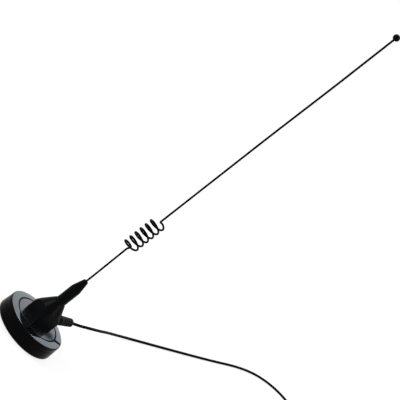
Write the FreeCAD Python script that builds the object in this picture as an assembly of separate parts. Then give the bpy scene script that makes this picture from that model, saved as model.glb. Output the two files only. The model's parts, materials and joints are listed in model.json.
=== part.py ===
import FreeCAD, Part
import math
import os

# Magnetic mount antenna: a wire whip with one open coil stands on a round magnetic base, and a thin
# coaxial cable runs from the base's housing to a threaded plug. Sizes are in millimetres. +Z runs up
# the whip, the origin is the centre of the underside, and the cable leaves towards +Y.

# Fits
FIT = 0.05              # radial play of round pieces in their holes
SLIP = 0.2              # radial play of pressed and moulded pieces

# Base
BASE_RADIUS = 28.0      # at the rim
BASE_FLARE = 0.75       # how much wider the side wall is at its foot
BASE_HEIGHT = 14.4      # from the table to the flat middle of the cover
COVER_CROWN = 0.6       # fall of the cover from its groove to its rim
COVER_SKIRT = 5.2
COVER_WALL = 1.2
COVER_TOP = 1.5
COVER_ROUND = 0.7
GROOVE_RADIUS = 20.6
GROOVE_WIDTH = 1.2
GROOVE_DEPTH = 0.6
SEAM_GAP = 0.2
SEAM_ROUND = 0.3
RING_WALL = 2.7
RING_ROUND = 1.4
RING_LIFT = 0.3
PAD_THICKNESS = 0.8
CUP_WALL = 1.5
CUP_WEB = 2.0
CUP_ROUND = 1.0
POLE_RADIUS = 11.5
MAGNET_GAP = 1.4

# Screws from below
SCREW_PITCH = 12.0
SCREW_RADIUS = 1.4
SCREW_HEAD_RADIUS = 2.6
SCREW_HEAD = 2.0
SCREW_SINK = 0.6        # depth of the head below the pole piece's face
SCREW_REACH = 7.2       # above the cover's top
SLOT_WIDTH = 0.6
SLOT_LENGTH = 3.2
SLOT_DEPTH = 0.9

# Housing
GASKET = 0.5
GASKET_INSET = 0.3
HOUSING_HALF = 10.1     # from the axis to the middle of a flat
FLAT_BOW = 0.3
CORNER_ROUND = 1.5
SHOULDER_RADIUS = 13.6  # of the cone at its lower edge
SHOULDER_HEIGHT = 9.9  # above the cover's top
NECK_RADIUS = 5.2
NECK_HEIGHT = 24.6      # above the cover's top
NECK_BEVEL = 0.4
EDGE_SOFTENING = 0.5
HOUSING_WALL = 2.0
CEILING = 6.5           # thickness of the solid top, where the bush sits
BOSS_RADIUS = 2.3
BOSS_HEIGHT = 8.1

# Cable exit
EXIT_RISE = 13.3        # degrees above the table
EXIT_HEIGHT = 4.3       # of the exit axis above the cover, on the whip's axis
SPOUT_RADIUS = 4.15
SPOUT_FLARE = 5.0
SPOUT_FLARE_LENGTH = 3.2
SPOUT_LENGTH = 7.8      # from the flat to the spout's end
SPOUT_BORE = 3.0
BOOT_PLUG = 8.2         # length of the boot inside the spout
BOOT_COLLAR = 0.7       # plain length before the first rib
BOOT_LENGTH = 12.0      # outside the spout
BOOT_RADIUS = 4.05
BOOT_END_RADIUS = 3.55
BOOT_ROUND = 1.5
RIBS = 5
RIB_PITCH = 2.15
RIB_GAP = 0.85
RIB_DEPTH = 0.75

# Contact stud and what hangs on it
BUSH_RADIUS = 3.2
BUSH_FLANGE_RADIUS = 4.6
BUSH_FLANGE = 1.5
STUD_RADIUS = 2.0
STUD_FLANGE_RADIUS = 3.8
STUD_FLANGE = 1.2
STUD_REACH = 7.5        # above the neck
STUD_TAIL = 5.7         # below the flange
STUD_BEVEL = 0.3
LUG_THICKNESS = 0.6
LUG_RADIUS = 3.7
LUG_WIDTH = 2.0
LUG_OFFSET = 4.6        # of the tail from the axis
LUG_REACH = 0.85        # of the tail below the conductor's axis
WASHER_RADIUS = 3.4
WASHER_THICKNESS = 0.8
WASHER_SPLIT = 0.6
NUT_ACROSS = 7.0
NUT_HEIGHT = 3.2
NUT_BEVEL = 0.35

# Whip
SEAL_THICKNESS = 0.6
SEAL_RADIUS = 4.3
SEAL_BORE = 2.4
FERRULE_RADIUS = 4.6
FERRULE_STRAIGHT = 15.8
FERRULE_TAPER = 10.9
FERRULE_TIP_RADIUS = 2.2
FERRULE_BEVEL = 0.3
INSERT_RADIUS = 3.1
INSERT_LENGTH = 17.9
THREAD_DEPTH = 8.4
CRIMP_DEPTH = 6.0
WIRE_RADIUS = 0.78
COIL_START = 111.2      # height of the coil's first turn
COIL_RADIUS = 5.9
COIL_PITCH = 5.26
COIL_TURNS = 5.95
COIL_ANGLE = 105.0      # degrees from +X where the first turn starts
LOWER_LEAD = 4.2        # height of the bend below the coil
UPPER_LEAD = 3.6        # height of the bend above the coil
LEAD_REACH = 0.62       # share of a lead's height that its curve handles take
BALL_HEIGHT = 372.3
BALL_RADIUS = 2.75
BALL_BORE = 0.3         # depth of the bore past the ball's centre

# Cable
CABLE_RADIUS = 1.2
STRAIGHT_EXIT = 9.0     # length of the first run past the boot
CABLE_POINTS = [
    (-2.0, 50.5, 27.5),
    (-9.5, 71.5, 24.2),
    (-22.7, 96.0, 17.7),
    (-36.0, 121.0, 10.4),
    (-48.2, 144.5, 3.9),
    (-55.5, 165.0, 1.2),
    (-61.0, 191.5, 1.2),
    (-67.9, 225.0, 1.2),
    (-76.7, 266.5, 1.2),
    (-86.2, 310.5, 1.2),
    (-96.2, 352.0, 1.2),
    (-100.6, 382.0, 1.2),
    (-99.6, 406.5, 1.2),
    (-92.6, 427.5, 1.2),
    (-80.0, 441.5, 1.2),
    (-64.5, 447.1, 1.4),
]
CABLE_COIL = (-51.3, 468.9)
CABLE_COIL_RADIUS = 14.4
CABLE_COIL_ACROSS = 5
CABLE_COIL_LAYERS = 6
CABLE_COIL_ANGLE = -80.0
LEAD_POINTS = [
    (-39.5, 451.5, 13.9),
    (-30.5, 453.1, 11.2),
    (-22.0, 454.6, 7.5),
]
TIE_THICKNESS = 0.8
TIE_WIDTH = 2.6
TIE_ANGLES = (20.0, 200.0)
TIE_HEAD = (2.8, 4.2, 3.6)
TIE_HEAD_HEIGHT = 9.0

# Plug, along its own axis from the boot's tail
PLUG_START = (-17.0, 455.5, 7.4)
PLUG_HEADING = 10.1     # degrees from +X
PLUG_BOOT_LENGTH = 10.0
PLUG_BOOT_TAIL = 1.95
PLUG_BOOT_RADIUS = 3.1
SLEEVE_START = 6.0
SLEEVE_RADIUS = 2.4
STEM_START = 8.0
STEM_RADIUS = 1.8
STEM_BORE = 0.8
COLLAR_START = 15.0
COLLAR_END = 19.4
COLLAR_RADIUS = 4.6
COLLAR_FLATS = 8.2
BARREL_RADIUS = 4.05
BARREL_BORE = 3.4
BARREL_END = 31.0
BARREL_BACK = 17.0
BARREL_SLOTS = 4
BARREL_SLOT_WIDTH = 0.5
BARREL_SLOT_LENGTH = 5.0
SNAP_START = 22.7
SNAP_THICKNESS = 0.6
SNAP_SINK = 0.3
SNAP_RADIUS = 4.9
NUT_START = 19.5
NUT_END = 33.5
NUT_WALL = 3.0
NUT_RADIUS = 7.3
NUT_THREAD = 5.1
NUT_EDGE = 0.5
KNURLS = 30
KNURL_DEPTH = 0.4
KNURL_MARGIN = 1.2
SEAT_START = 23.5
SEAT_THICKNESS = 1.2
SEAT_RADIUS = 5.0
CORE_END = 25.0
PIN_RADIUS = 0.65
PIN_START = 8.6
PIN_END = 29.4
PIN_POINT = 1.0

# Heights that follow
COVER_UNDERSIDE = BASE_HEIGHT - COVER_TOP
SKIRT_FOOT = BASE_HEIGHT - COVER_SKIRT
RIM_HEIGHT = BASE_HEIGHT - COVER_CROWN
RING_BORE = BASE_RADIUS - RING_WALL
CUP_RADIUS = RING_BORE - SLIP
WEB_FOOT = COVER_UNDERSIDE - CUP_WEB
SCREW_HOLE = SCREW_RADIUS + SLIP
HEAD_TOP = PAD_THICKNESS + SCREW_SINK + SCREW_HEAD
WALL_FOOT = BASE_HEIGHT + GASKET
SHOULDER = BASE_HEIGHT + SHOULDER_HEIGHT
NECK = BASE_HEIGHT + NECK_HEIGHT
CONE_SLOPE = (SHOULDER_RADIUS - NECK_RADIUS) / (NECK - SHOULDER)
CEILING_FOOT = NECK - CEILING
CAVITY_HALF = HOUSING_HALF - HOUSING_WALL
BUSH_FOOT = CEILING_FOOT - BUSH_FLANGE
STUD_FOOT = BUSH_FOOT - STUD_FLANGE
LUG_FOOT = STUD_FOOT - LUG_THICKNESS
WASHER_FOOT = LUG_FOOT - WASHER_THICKNESS
NUT_FOOT = WASHER_FOOT - NUT_HEIGHT
FERRULE_FOOT = NECK + SEAL_THICKNESS
TAPER_START = FERRULE_FOOT + FERRULE_STRAIGHT
FERRULE_TOP = TAPER_START + FERRULE_TAPER
INSERT_TOP = FERRULE_FOOT + INSERT_LENGTH
WIRE_FOOT = INSERT_TOP - CRIMP_DEPTH
WIRE_BORE = WIRE_RADIUS + FIT
COIL_END = COIL_START + COIL_PITCH * COIL_TURNS

# Distances along the exit axis, from the whip's axis
FLAT_AT = HOUSING_HALF / math.cos(math.radians(EXIT_RISE))
SPOUT_END = FLAT_AT + SPOUT_LENGTH
BOOT_START = SPOUT_END - BOOT_PLUG
BOOT_END = SPOUT_END + BOOT_LENGTH
CAVITY_AT = CAVITY_HALF / math.cos(math.radians(EXIT_RISE))
CRIMP_END = CAVITY_AT - 0.3
CRIMP_START = CRIMP_END - 3.0
CRIMP_RADIUS = CABLE_RADIUS + 0.7
CORE_RADIUS = 0.75
CORE_STRIP = 3.0
CONDUCTOR_RADIUS = 0.25
STRAP_WIDTH = 3.0
STRAP_THICKNESS = 0.5
STRAP_FOOT = 3.6

# The cable's coil
CABLE = 2 * CABLE_RADIUS
COIL_WIDTH = CABLE * CABLE_COIL_ACROSS
COIL_INNER = CABLE_COIL_RADIUS - COIL_WIDTH / 2
COIL_OUTER = CABLE_COIL_RADIUS + COIL_WIDTH / 2
COIL_TOP = TIE_THICKNESS + CABLE * CABLE_COIL_LAYERS

CLOSED = 0.001          # an outline whose ends are nearer than this is closed

ORIGIN = FreeCAD.Vector(0, 0, 0)
X_AXIS = FreeCAD.Vector(1, 0, 0)
Y_AXIS = FreeCAD.Vector(0, 1, 0)
Z_AXIS = FreeCAD.Vector(0, 0, 1)


def arc(centre, radius, start, end):
    """Arc step for turned(), as its middle and its end; angles in degrees from the r axis."""
    angles = (math.radians((start + end) / 2), math.radians(end))
    return tuple(
        (centre[0] + radius * math.cos(a), centre[1] + radius * math.sin(a)) for a in angles
    )


def turned(outline):
    """Solid turned about Z. A step is a corner (r, z), or an arc's middle and end."""
    first = FreeCAD.Vector(outline[0][0], 0, outline[0][1])
    here = first
    edges = []
    for step in outline[1:]:
        if isinstance(step[0], tuple):
            middle, end = (FreeCAD.Vector(r, 0, z) for r, z in step)
            edges.append(Part.Arc(here, middle, end).toShape())
        else:
            end = FreeCAD.Vector(step[0], 0, step[1])
            edges.append(Part.LineSegment(here, end).toShape())
        here = end
    if here.distanceToPoint(first) > CLOSED:
        edges.append(Part.LineSegment(here, first).toShape())
    solid = Part.Face(Part.Wire(edges)).revolve(ORIGIN, Z_AXIS, 360)
    if solid.Volume < 0:
        solid.reverse()
    return solid


def rod(radius, low, high, x=0.0, y=0.0):
    """Upright cylinder between two heights."""
    return Part.makeCylinder(radius, high - low, FreeCAD.Vector(x, y, low))


def ring(outer, inner, low, high):
    """Plain ring about Z between two heights."""
    return rod(outer, low, high).cut(rod(inner, low, high))


def block(size, centre):
    """Box of the given size about a centre."""
    corner = [middle - side / 2 for middle, side in zip(centre, size)]
    return Part.makeBox(*size, FreeCAD.Vector(*corner))


def prism(half, bow, low, high, corner):
    """Upright prism with four flats that bow outwards, and rounded corners."""
    near = half - bow
    turns = [(near, -near), (near, near), (-near, near), (-near, -near)]
    middles = [(half, 0), (0, half), (-half, 0), (0, -half)]
    edges = []
    for k, middle in enumerate(middles):
        start = FreeCAD.Vector(*turns[k], low)
        end = FreeCAD.Vector(*turns[(k + 1) % 4], low)
        if bow:
            edges.append(Part.Arc(start, FreeCAD.Vector(*middle, low), end).toShape())
        else:
            edges.append(Part.LineSegment(start, end).toShape())
    body = Part.Face(Part.Wire(edges)).extrude(FreeCAD.Vector(0, 0, high - low))
    upright = [edge for edge in body.Edges if edge.BoundBox.ZLength > (high - low) / 2]
    return body.makeFillet(corner, upright)


def screw_places():
    """Centres of the four screws."""
    half = SCREW_PITCH / 2
    return [(x, y) for x in (-half, half) for y in (-half, half)]


def at_screws(radius, low, high):
    """Four upright cylinders on the screws' centres."""
    return [rod(radius, low, high, x, y) for x, y in screw_places()]


def to_exit(shape):
    """Move a shape made along Z from the whip's axis onto the inclined exit axis."""
    shape.rotate(ORIGIN, X_AXIS, EXIT_RISE - 90)
    shape.translate(FreeCAD.Vector(0, 0, BASE_HEIGHT + EXIT_HEIGHT))
    return shape


def exit_point(distance):
    """Point on the exit axis at a distance from the whip's axis."""
    rise = math.radians(EXIT_RISE)
    height = BASE_HEIGHT + EXIT_HEIGHT + distance * math.sin(rise)
    return (0.0, distance * math.cos(rise), height)


def to_plug(shape):
    """Move a shape made along Z onto the plug's axis."""
    shape.rotate(ORIGIN, Y_AXIS, 90)
    shape.rotate(ORIGIN, Z_AXIS, PLUG_HEADING)
    shape.translate(FreeCAD.Vector(*PLUG_START))
    return shape


def plug_point(distance):
    """Point on the plug's axis."""
    heading = math.radians(PLUG_HEADING)
    x, y, z = PLUG_START
    return (x + distance * math.cos(heading), y + distance * math.sin(heading), z)


# Base

def wall_radius(height):
    """Radius of the flared side wall at a height."""
    return BASE_RADIUS + BASE_FLARE * (RIM_HEIGHT - height) / (RIM_HEIGHT - RING_LIFT)


def base_cover():
    """Crowned cap with a turned groove round its flat middle, and four screw holes."""
    inner = BASE_RADIUS - COVER_WALL
    foot = wall_radius(SKIRT_FOOT) - SEAM_ROUND
    edge = BASE_RADIUS - COVER_ROUND
    ridge = GROOVE_RADIUS + GROOVE_WIDTH / 2
    crown = ((edge - ridge)**2 + COVER_CROWN**2) / (2 * COVER_CROWN)
    slope = math.degrees(math.asin((edge - ridge) / crown))
    body = turned([
        (0, COVER_UNDERSIDE),
        (inner, COVER_UNDERSIDE),
        (inner, SKIRT_FOOT),
        (foot, SKIRT_FOOT),
        arc((foot, SKIRT_FOOT + SEAM_ROUND), SEAM_ROUND, -90, 0),
        (BASE_RADIUS, RIM_HEIGHT - COVER_ROUND),
        arc((edge, RIM_HEIGHT - COVER_ROUND), COVER_ROUND, 0, 90),
        arc((ridge, BASE_HEIGHT - crown), crown, 90 - slope, 90),
        ((GROOVE_RADIUS, BASE_HEIGHT - GROOVE_DEPTH), (GROOVE_RADIUS - GROOVE_WIDTH / 2, BASE_HEIGHT)),
        (0, BASE_HEIGHT),
    ])
    return body.cut(at_screws(SCREW_HOLE, COVER_UNDERSIDE, BASE_HEIGHT))


def base_ring():
    """Moulded side wall that flares to its foot, with a spigot that fits inside the cap's skirt."""
    shoulder = SKIRT_FOOT - SEAM_GAP
    spigot = BASE_RADIUS - COVER_WALL - FIT
    foot = wall_radius(RING_LIFT + RING_ROUND) - RING_ROUND
    top = wall_radius(shoulder) - SEAM_ROUND
    return turned([
        (RING_BORE, RING_LIFT),
        (foot, RING_LIFT),
        arc((foot, RING_LIFT + RING_ROUND), RING_ROUND, -90, 0),
        (top + SEAM_ROUND, shoulder - SEAM_ROUND),
        arc((top, shoulder - SEAM_ROUND), SEAM_ROUND, 0, 90),
        (spigot, shoulder),
        (spigot, COVER_UNDERSIDE),
        (RING_BORE, COVER_UNDERSIDE),
    ])


def steel_cup():
    """Inverted cup that closes the magnet's field, drilled for the screws."""
    inner = CUP_RADIUS - CUP_WALL
    body = turned([
        (0, WEB_FOOT),
        (inner, WEB_FOOT),
        (inner, PAD_THICKNESS),
        (CUP_RADIUS, PAD_THICKNESS),
        (CUP_RADIUS, COVER_UNDERSIDE - CUP_ROUND),
        arc((CUP_RADIUS - CUP_ROUND, COVER_UNDERSIDE - CUP_ROUND), CUP_ROUND, 0, 90),
        (0, COVER_UNDERSIDE),
    ])
    return body.cut(at_screws(SCREW_HOLE, WEB_FOOT, COVER_UNDERSIDE))


def ring_magnet():
    """Flat ferrite ring between the cup's wall and the pole."""
    outer = CUP_RADIUS - CUP_WALL - MAGNET_GAP
    return ring(outer, POLE_RADIUS + MAGNET_GAP, PAD_THICKNESS, WEB_FOOT)


def pole_piece():
    """Steel centre pole with counterbored screw holes."""
    sinks = at_screws(SCREW_HEAD_RADIUS + SLIP, PAD_THICKNESS, HEAD_TOP)
    holes = at_screws(SCREW_HOLE, HEAD_TOP, WEB_FOOT)
    return rod(POLE_RADIUS, PAD_THICKNESS, WEB_FOOT).cut(sinks + holes)


def bottom_pad():
    """Thin pad over the whole magnet."""
    return rod(CUP_RADIUS, 0, PAD_THICKNESS)


def housing_screws():
    """Four screws with slotted heads, as one group."""
    head_foot = HEAD_TOP - SCREW_HEAD
    screws = []
    for x, y in screw_places():
        head = rod(SCREW_HEAD_RADIUS, head_foot, HEAD_TOP, x, y)
        shank = rod(SCREW_RADIUS, HEAD_TOP, BASE_HEIGHT + SCREW_REACH, x, y)
        slot = block((SLOT_LENGTH, SLOT_WIDTH, 2 * SLOT_DEPTH), (x, y, head_foot))
        screws.append(head.fuse(shank).cut(slot))
    return Part.makeCompound(screws)


# Housing

def housing_shell():
    """Outer form: four bowed flats under a cone, with softened edges where they meet."""
    body = prism(HOUSING_HALF, FLAT_BOW, WALL_FOOT, NECK, CORNER_ROUND)
    cone = turned([
        (0, WALL_FOOT),
        (SHOULDER_RADIUS + (SHOULDER - WALL_FOOT) * CONE_SLOPE, WALL_FOOT),
        (NECK_RADIUS + NECK_BEVEL * CONE_SLOPE, NECK - NECK_BEVEL),
        (NECK_RADIUS - NECK_BEVEL, NECK),
        (0, NECK),
    ])
    body = body.common(cone)
    low = WALL_FOOT + SHOULDER_HEIGHT / 2
    soft = [
        edge for edge in body.Edges
        if edge.BoundBox.ZMin > low and edge.BoundBox.ZMax < NECK - CEILING / 2
    ]
    return body.makeFillet(EDGE_SOFTENING, soft)


def housing_cavity():
    """Space inside the housing, one wall in from its outer form."""
    sideways = HOUSING_WALL * math.hypot(1, CONE_SLOPE)
    foot = BASE_HEIGHT - GASKET
    reach = SHOULDER_RADIUS - sideways
    cone = turned([
        (0, foot),
        (reach + (SHOULDER - foot) * CONE_SLOPE, foot),
        (reach - (CEILING_FOOT - SHOULDER) * CONE_SLOPE, CEILING_FOOT),
        (0, CEILING_FOOT),
    ])
    return prism(CAVITY_HALF, 0, foot, CEILING_FOOT, CORNER_ROUND).common(cone)


def housing():
    """Moulded housing with screw bosses, the bush's hole and the inclined cable spout."""
    flare_end = FLAT_AT + SPOUT_FLARE_LENGTH
    spout = turned([
        (0, CAVITY_AT),
        (SPOUT_FLARE, CAVITY_AT),
        (SPOUT_FLARE, FLAT_AT),
        (SPOUT_RADIUS, flare_end),
        (SPOUT_RADIUS, SPOUT_END),
        (0, SPOUT_END),
    ])
    body = housing_shell().fuse(to_exit(spout)).cut(housing_cavity())
    bosses = at_screws(BOSS_RADIUS, BASE_HEIGHT, BASE_HEIGHT + BOSS_HEIGHT)
    body = body.fuse(bosses)
    holes = at_screws(SCREW_RADIUS + FIT, BASE_HEIGHT, BASE_HEIGHT + SCREW_REACH + FIT)
    holes.append(rod(BUSH_RADIUS + FIT, CEILING_FOOT, NECK))
    holes.append(to_exit(rod(SPOUT_BORE, CRIMP_START, SPOUT_END)))
    return body.cut(holes).removeSplitter()


def housing_gasket():
    """Thin gasket under the housing's wall, clear of the bosses."""
    sheet = prism(HOUSING_HALF - GASKET_INSET, FLAT_BOW, BASE_HEIGHT, WALL_FOOT, CORNER_ROUND)
    window = prism(CAVITY_HALF + SLIP, 0, BASE_HEIGHT, WALL_FOOT, CORNER_ROUND)
    return sheet.cut([window] + at_screws(BOSS_RADIUS + SLIP, BASE_HEIGHT, WALL_FOOT))


def insulator_bush():
    """Flanged bush in the housing's top."""
    bore = STUD_RADIUS + FIT
    return turned([
        (bore, BUSH_FOOT),
        (BUSH_FLANGE_RADIUS, BUSH_FOOT),
        (BUSH_FLANGE_RADIUS, CEILING_FOOT),
        (BUSH_RADIUS, CEILING_FOOT),
        (BUSH_RADIUS, NECK),
        (bore, NECK),
    ])


def contact_stud():
    """Flanged stud that carries the whip."""
    top = NECK + STUD_REACH
    foot = STUD_FOOT - STUD_TAIL
    return turned([
        (0, foot),
        (STUD_RADIUS - STUD_BEVEL, foot),
        (STUD_RADIUS, foot + STUD_BEVEL),
        (STUD_RADIUS, STUD_FOOT),
        (STUD_FLANGE_RADIUS, STUD_FOOT),
        (STUD_FLANGE_RADIUS, BUSH_FOOT),
        (STUD_RADIUS, BUSH_FOOT),
        (STUD_RADIUS, top - STUD_BEVEL),
        (STUD_RADIUS - STUD_BEVEL, top),
        (0, top),
    ])


def solder_lug():
    """Tag round the stud, with a tail bent down to the cable's conductor."""
    arm = LUG_OFFSET + LUG_THICKNESS - STUD_RADIUS - FIT
    arm_middle = -(LUG_OFFSET + LUG_THICKNESS) + arm / 2
    flat = block((LUG_WIDTH, arm, LUG_THICKNESS), (0, arm_middle, LUG_FOOT + LUG_THICKNESS / 2))
    joint = exit_point(-LUG_OFFSET / math.cos(math.radians(EXIT_RISE)))
    length = STUD_FOOT - joint[2] + LUG_REACH
    tail_middle = (0, -LUG_OFFSET - LUG_THICKNESS / 2, STUD_FOOT - length / 2)
    tail = block((LUG_WIDTH, LUG_THICKNESS, length), tail_middle)
    body = rod(LUG_RADIUS, LUG_FOOT, STUD_FOOT).fuse([flat, tail])
    return body.cut(rod(STUD_RADIUS + FIT, LUG_FOOT, STUD_FOOT)).removeSplitter()


def lug_washer():
    """Split spring washer."""
    body = ring(WASHER_RADIUS, STUD_RADIUS + FIT, WASHER_FOOT, LUG_FOOT)
    middle = (WASHER_FOOT + LUG_FOOT) / 2
    split = block((WASHER_RADIUS, WASHER_SPLIT, 2 * WASHER_THICKNESS), (WASHER_RADIUS, 0, middle))
    return body.cut(split)


def stud_nut():
    """Hexagon nut with bevelled corners."""
    corner = NUT_ACROSS / math.sqrt(3)
    points = [
        FreeCAD.Vector(corner * math.cos(math.radians(60 * k)), corner * math.sin(math.radians(60 * k)), NUT_FOOT)
        for k in range(7)
    ]
    hexagon = Part.Face(Part.makePolygon(points)).extrude(FreeCAD.Vector(0, 0, NUT_HEIGHT))
    blank = turned([
        (0, NUT_FOOT),
        (corner - NUT_BEVEL, NUT_FOOT),
        (corner, NUT_FOOT + NUT_BEVEL),
        (corner, WASHER_FOOT),
        (0, WASHER_FOOT),
    ])
    return hexagon.common(blank).cut(rod(STUD_RADIUS + FIT, NUT_FOOT, WASHER_FOOT))


# Cable exit

def strain_relief():
    """Ribbed boot: a plain plug inside the spout, then ribs that shrink towards a rounded end."""
    bore = CABLE_RADIUS + FIT
    plug = SPOUT_BORE - FIT
    outline = [(bore, BOOT_START), (plug, BOOT_START), (plug, SPOUT_END)]
    for k in range(RIBS - 1):
        outer = BOOT_RADIUS - (BOOT_RADIUS - BOOT_END_RADIUS) * k / (RIBS - 1)
        start = SPOUT_END + BOOT_COLLAR + k * RIB_PITCH
        outline.append((outer, start - BOOT_COLLAR if k == 0 else start))
        outline.append((outer, start + RIB_PITCH - RIB_GAP))
        outline.append((outer - RIB_DEPTH, start + RIB_PITCH - RIB_GAP))
        outline.append((outer - RIB_DEPTH, start + RIB_PITCH))
    outline.append((BOOT_END_RADIUS, SPOUT_END + BOOT_COLLAR + (RIBS - 1) * RIB_PITCH))
    outline.append((BOOT_END_RADIUS, BOOT_END - BOOT_ROUND))
    outline.append(arc((BOOT_END_RADIUS - BOOT_ROUND, BOOT_END - BOOT_ROUND), BOOT_ROUND, 0, 90))
    outline.append((bore, BOOT_END))
    return to_exit(turned(outline))


def coax_entry():
    """The cable's own end inside the boot and the spout."""
    return to_exit(rod(CABLE_RADIUS, CRIMP_START, BOOT_END))


def braid_ferrule():
    """Ring crimped over the folded braid."""
    return to_exit(ring(CRIMP_RADIUS, CABLE_RADIUS + FIT, CRIMP_START, CRIMP_END))


def ground_strap():
    """Bent strip from the cover up to the crimped ring."""
    ring_middle = exit_point((CRIMP_START + CRIMP_END) / 2)
    foot_middle = (0, ring_middle[1] - STRAP_FOOT / 2, BASE_HEIGHT + STRAP_THICKNESS / 2)
    foot = block((STRAP_WIDTH, STRAP_FOOT, STRAP_THICKNESS), foot_middle)
    rise = ring_middle[2] - BASE_HEIGHT
    stem_middle = (0, ring_middle[1] - STRAP_THICKNESS / 2, BASE_HEIGHT + rise / 2)
    stem = block((STRAP_WIDTH, STRAP_THICKNESS, rise), stem_middle)
    crimp = to_exit(rod(CRIMP_RADIUS, CRIMP_START - STRAP_WIDTH, CRIMP_END))
    return foot.fuse(stem).cut(crimp).removeSplitter()


def coax_dielectric():
    """Stripped insulation between the jacket's end and the bare conductor."""
    core = rod(CORE_RADIUS, CRIMP_START - CORE_STRIP, CRIMP_START)
    return to_exit(core)


def centre_conductor():
    """Bare conductor, ending on the lug's tail."""
    end = -(LUG_OFFSET + LUG_THICKNESS / 2) / math.cos(math.radians(EXIT_RISE))
    wire = rod(CONDUCTOR_RADIUS, end, CRIMP_START - CORE_STRIP)
    return to_exit(wire).cut(solder_lug())


# Whip

def foot_seal():
    """Flat washer under the whip's foot."""
    return ring(SEAL_RADIUS, SEAL_BORE, NECK, FERRULE_FOOT)


def ferrule_insert():
    """Threaded insert: the stud's thread from below, the wire's crimped bore from above."""
    thread = STUD_RADIUS + FIT
    thread_top = FERRULE_FOOT + THREAD_DEPTH
    return turned([
        (thread, FERRULE_FOOT),
        (INSERT_RADIUS, FERRULE_FOOT),
        (INSERT_RADIUS, INSERT_TOP),
        (WIRE_BORE, INSERT_TOP),
        (WIRE_BORE, WIRE_FOOT),
        (0, WIRE_FOOT),
        (0, thread_top),
        (thread, thread_top),
    ])


def ferrule_sleeve():
    """Moulded foot over the insert, straight and then tapered to the wire."""
    bore = INSERT_RADIUS + FIT
    return turned([
        (bore, FERRULE_FOOT),
        (FERRULE_RADIUS - FERRULE_BEVEL, FERRULE_FOOT),
        (FERRULE_RADIUS, FERRULE_FOOT + FERRULE_BEVEL),
        (FERRULE_RADIUS, TAPER_START),
        (FERRULE_TIP_RADIUS, FERRULE_TOP - FERRULE_BEVEL),
        (FERRULE_TIP_RADIUS - FERRULE_BEVEL, FERRULE_TOP),
        (WIRE_BORE, FERRULE_TOP),
        (WIRE_BORE, INSERT_TOP),
        (bore, INSERT_TOP),
    ])


def coil_frame(turns):
    """Point and unit tangent of the whip's coil after some turns."""
    angle = math.radians(COIL_ANGLE) + 2 * math.pi * turns
    point = FreeCAD.Vector(
        COIL_RADIUS * math.cos(angle), COIL_RADIUS * math.sin(angle), COIL_START + COIL_PITCH * turns
    )
    around = 2 * math.pi * COIL_RADIUS
    tangent = FreeCAD.Vector(-around * math.sin(angle), around * math.cos(angle), COIL_PITCH)
    return point, tangent.normalize()


def curve(*poles):
    """Bezier edge through its end poles."""
    shape = Part.BezierCurve()
    shape.setPoles(list(poles))
    return shape.toShape()


def whip():
    """One wire: straight, bent out to the coil's first turn, coiled, bent back and straight."""
    low, low_way = coil_frame(0)
    high, high_way = coil_frame(COIL_TURNS)
    foot = FreeCAD.Vector(0, 0, WIRE_FOOT)
    bend_start = FreeCAD.Vector(0, 0, COIL_START - LOWER_LEAD)
    bend_end = FreeCAD.Vector(0, 0, COIL_END + UPPER_LEAD)
    top = FreeCAD.Vector(0, 0, BALL_HEIGHT + BALL_BORE)
    helix = Part.makeHelix(COIL_PITCH, COIL_PITCH * COIL_TURNS, COIL_RADIUS)
    helix.rotate(ORIGIN, Z_AXIS, COIL_ANGLE)
    helix.translate(FreeCAD.Vector(0, 0, COIL_START))
    low_reach = LOWER_LEAD * LEAD_REACH
    high_reach = UPPER_LEAD * LEAD_REACH
    edges = [Part.LineSegment(foot, bend_start).toShape()]
    edges.append(curve(bend_start, bend_start + Z_AXIS * low_reach, low - low_way * low_reach, low))
    edges.extend(helix.Edges)
    edges.append(curve(high, high + high_way * high_reach, bend_end - Z_AXIS * high_reach, bend_end))
    edges.append(Part.LineSegment(bend_end, top).toShape())
    path = Part.Wire(edges)
    section = Part.Wire(Part.makeCircle(WIRE_RADIUS, foot, Z_AXIS))
    body = path.makePipeShell([section], True, False)
    print("whip", round(body.Volume, 2), round(math.pi * WIRE_RADIUS**2 * path.Length, 2), body.isValid())
    return body


def ball_tip():
    """Ball with a blind bore for the wire."""
    ball = Part.makeSphere(BALL_RADIUS, FreeCAD.Vector(0, 0, BALL_HEIGHT))
    return ball.cut(rod(WIRE_BORE, BALL_HEIGHT - BALL_RADIUS, BALL_HEIGHT + BALL_BORE))


# Cable

def cord(name, points):
    """Round cord of straight runs joined by tangent arcs, each as large as its runs allow."""
    route = [FreeCAD.Vector(*point) for point in points]
    edges = []
    radii = []
    here = route[0]
    for before, corner, after in zip(route, route[1:], route[2:]):
        back = before - corner
        onward = after - corner
        half_turn = (math.pi - back.getAngle(onward)) / 2
        setback = 0.45 * min(back.Length, onward.Length)
        radius = setback / math.tan(half_turn)
        radii.append(round(radius))
        start = corner + back.normalize() * setback
        end = corner + onward.normalize() * setback
        inward = (back + onward).normalize()
        middle = corner + inward * radius * (1 / math.cos(half_turn) - 1)
        edges.append(Part.LineSegment(here, start).toShape())
        edges.append(Part.Arc(start, middle, end).toShape())
        here = end
    edges.append(Part.LineSegment(here, route[-1]).toShape())
    path = Part.Wire(edges)
    section = Part.Wire(Part.makeCircle(CABLE_RADIUS, route[0], route[1] - route[0]))
    body = path.makePipeShell([section], True, False)
    print(name, "radii", radii, "length", round(path.Length, 1))
    print(name, "volume", round(body.Volume, 1), round(math.pi * CABLE_RADIUS**2 * path.Length, 1))
    return body


def coil_point(layer):
    """Where the cable enters or leaves the coil, on the outermost turn of a layer."""
    radius = COIL_OUTER - CABLE_RADIUS
    angle = math.radians(CABLE_COIL_ANGLE)
    height = TIE_THICKNESS + CABLE * layer + CABLE_RADIUS
    return (CABLE_COIL[0] + radius * math.cos(angle), CABLE_COIL[1] + radius * math.sin(angle), height)


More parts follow.
